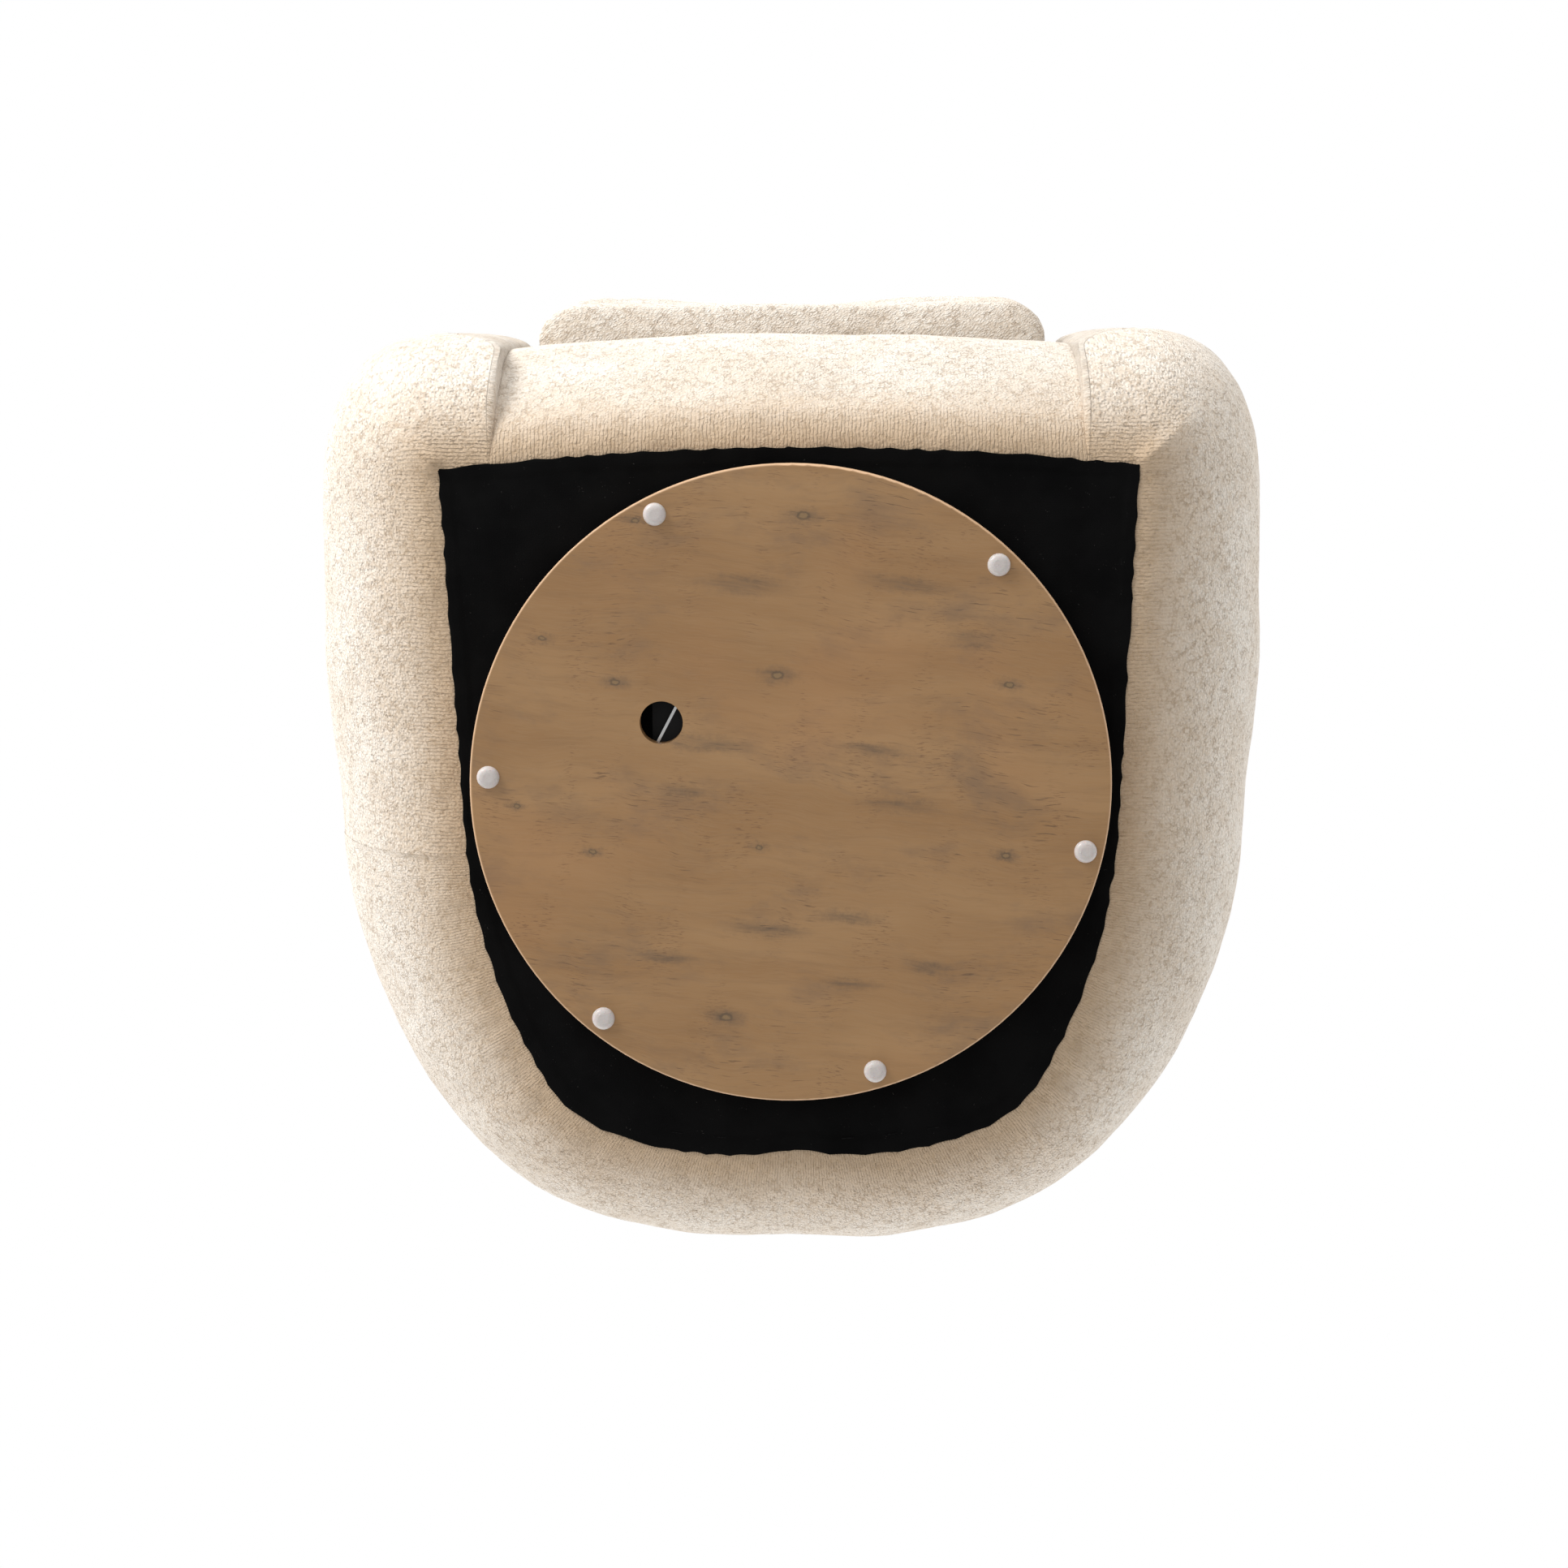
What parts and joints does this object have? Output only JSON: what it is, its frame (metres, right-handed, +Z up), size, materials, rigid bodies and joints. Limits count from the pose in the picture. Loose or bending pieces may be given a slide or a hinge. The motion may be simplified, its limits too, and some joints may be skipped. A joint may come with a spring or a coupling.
{
  "type": "swivel tub chair",
  "caption": "Upholstered swivel tub armchair: round base board on glides, ball swivel, timber frame, padded arms and back, and a loose seat cushion.",
  "frame": {"origin": "on the floor, on the swivel axis, under the middle of the round base board", "axes": "+Z up along the swivel axis, -Y towards the front of the seat, +X towards the sitter's left"},
  "size_m": [0.816, 0.805, 0.72],
  "materials": {
    "base_plywood": "satin",
    "nylon": "satin",
    "zinc_steel": "satin",
    "plate_steel": "satin",
    "cage_plastic": "matte",
    "spring_wire": "satin",
    "black_cloth": "matte",
    "foam": "matte",
    "cream_chenille": "matte",
    "zip_tape": "matte",
    "frame_timber": "matte"
  },
  "bodies": {
    "base": {"base_board": "base_plywood", "glide_caps": "nylon", "glide_nails": "zinc_steel", "lower_swivel_plate": "plate_steel", "lower_plate_screws": "zinc_steel"},
    "ball_ring": {"ball_cage": "cage_plastic", "bearing_balls": "zinc_steel"},
    "chair": {"upper_swivel_plate": "plate_steel", "upper_plate_screws": "zinc_steel", "dust_cover": "black_cloth", "dust_cover_staples": "zinc_steel", "bottom_front_rail": "frame_timber", "bottom_rail_left": "frame_timber", "bottom_rail_right": "frame_timber", "bottom_back_rail": "frame_timber", "swivel_rail_left": "frame_timber", "swivel_rail_right": "frame_timber", "corner_blocks": "frame_timber", "front_posts": "frame_timber", "seat_front_rail": "frame_timber", "seat_rail_left": "frame_timber", "seat_rail_right": "frame_timber", "seat_back_rail": "frame_timber", "seat_springs": "spring_wire", "spring_clips": "zinc_steel", "seat_deck_cloth": "black_cloth", "arm_ribs_left": "frame_timber", "arm_ribs_right": "frame_timber", "arm_top_rail_left": "frame_timber", "arm_top_rail_right": "frame_timber", "back_ribs": "frame_timber", "back_top_rail": "frame_timber", "arm_foam_left": "foam", "arm_foam_right": "foam", "back_foam": "foam", "front_panel_foam": "foam", "arm_cover_left": "cream_chenille", "arm_cover_right": "cream_chenille", "back_cover": "cream_chenille", "front_panel_cover": "cream_chenille", "seat_cushion_core": "foam", "seat_cushion_cover": "cream_chenille", "cushion_zip": "zip_tape"}
  },
  "joints": [
    {"name": "swivel", "type": "hinge", "parent": "base", "child": "chair", "pos_m": [0, 0, 0.02925], "axis": [0, 0, 1], "continuous": true},
    {"name": "ball_ring_roll", "type": "hinge", "parent": "base", "child": "ball_ring", "pos_m": [0, 0, 0.02925], "axis": [0, 0, 1], "continuous": true}
  ],
  "couplings": [
    {"joint": "ball_ring_roll", "follows": "swivel", "ratio": 0.5}
  ]
}
